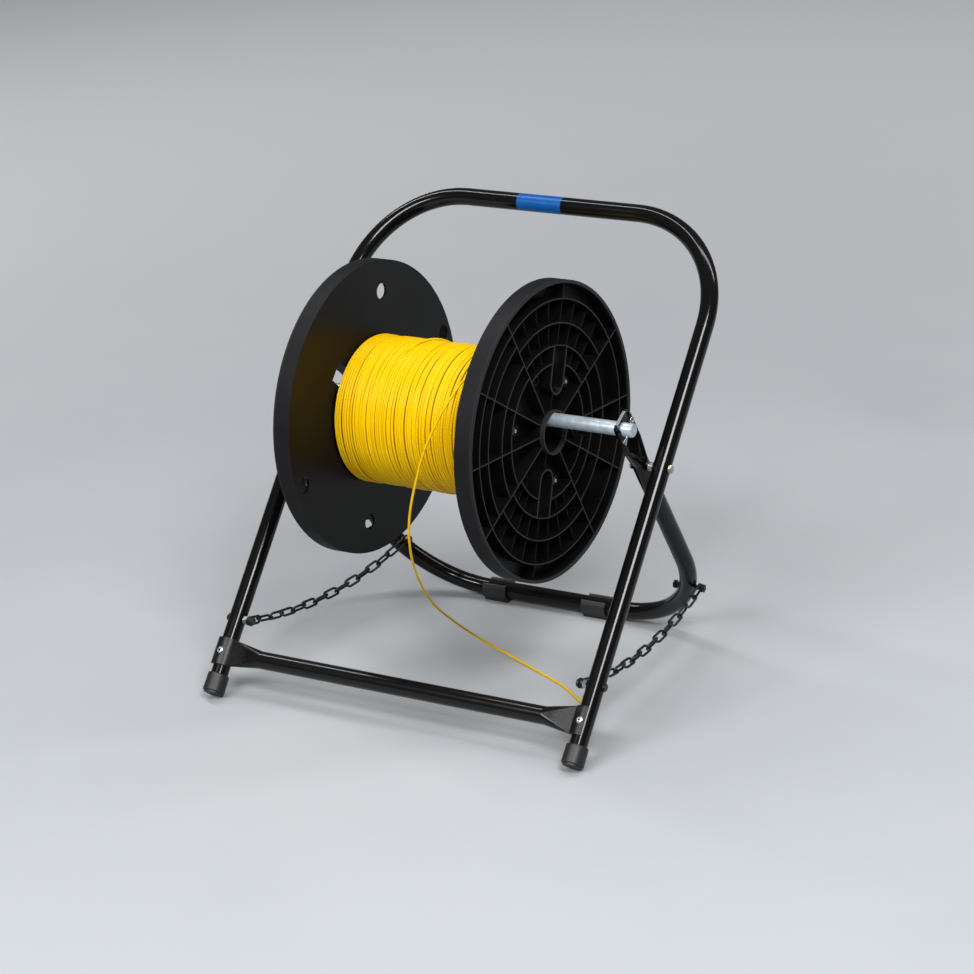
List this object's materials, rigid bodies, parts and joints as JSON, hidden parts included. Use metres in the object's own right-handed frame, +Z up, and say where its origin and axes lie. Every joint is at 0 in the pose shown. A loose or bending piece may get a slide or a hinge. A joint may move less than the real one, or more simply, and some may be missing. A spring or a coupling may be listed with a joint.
{
  "type": "cable caddy",
  "caption": "Folding tube stand with a hinged rear frame held by chains, carrying a free-running cable reel on an axle rod.",
  "frame": {"origin": "on the floor, under the middle of the stand's box", "axes": "+X to the right-hand leg along the axle rod, +Y to the back where the carrying handle leans, +Z up"},
  "size_m": [0.5536, 0.4892, 0.5402],
  "materials": {
    "frame_paint": "gloss black enamel on steel tube",
    "rivet_aluminium": "bright blind rivet",
    "foot_rubber": "matt black rubber",
    "zinc_steel": "bright zinc plate",
    "yellow_zinc": "yellow passivated zinc plate",
    "chain_black": "gloss black enamel on welded steel links",
    "cap_plastic": "black moulded plastic",
    "axle_steel": "bright drawn steel with a blue-grey cast",
    "reel_plastic": "black moulded plastic, semi-gloss, with flow marks",
    "cable_jacket": "yellow cable jacket, slightly glossy"
  },
  "bodies": {
    "front_frame": {"front_tube": "frame_paint", "crossbar": "frame_paint", "crossbar_rivets": "rivet_aluminium", "foot_tip_left": "foot_rubber", "foot_tip_right": "foot_rubber", "pivot_bolts": "zinc_steel", "pivot_nuts": "yellow_zinc", "pivot_spacers": "zinc_steel", "chain_bolts_front": "chain_black", "chain_nuts_front": "zinc_steel", "chain_caps_front": "cap_plastic", "chain_left": "chain_black", "chain_right": "chain_black"},
    "rear_frame": {"rear_tube": "frame_paint", "glide_left": "cap_plastic", "glide_right": "cap_plastic", "chain_bolts_rear": "chain_black", "chain_nuts_rear": "chain_black", "cable_tail": "cable_jacket"},
    "axle": {"axle_rod": "axle_steel", "cotter_pin_left": "zinc_steel", "cotter_pin_right": "zinc_steel"},
    "reel": {"reel_flange_left": "reel_plastic", "reel_flange_right": "reel_plastic", "reel_core": "reel_plastic", "tie_bolts": "zinc_steel", "tie_nuts": "zinc_steel", "cable_winding": "cable_jacket"}
  },
  "joints": [
    {"name": "fold", "type": "hinge", "parent": "front_frame", "child": "rear_frame", "pos_m": [0, 0.01671, 0.28834], "axis": [-1, 0, 0], "range_deg": [0, 65], "deforming": ["chain_left", "chain_right"]},
    {"name": "axle_turn", "type": "hinge", "parent": "rear_frame", "child": "axle", "pos_m": [0, -0.02236, 0.34908], "axis": [1, 0, 0], "continuous": true},
    {"name": "reel_spin", "type": "hinge", "parent": "rear_frame", "child": "reel", "pos_m": [0, -0.02236, 0.33278], "axis": [1, 0, 0], "continuous": true}
  ]
}
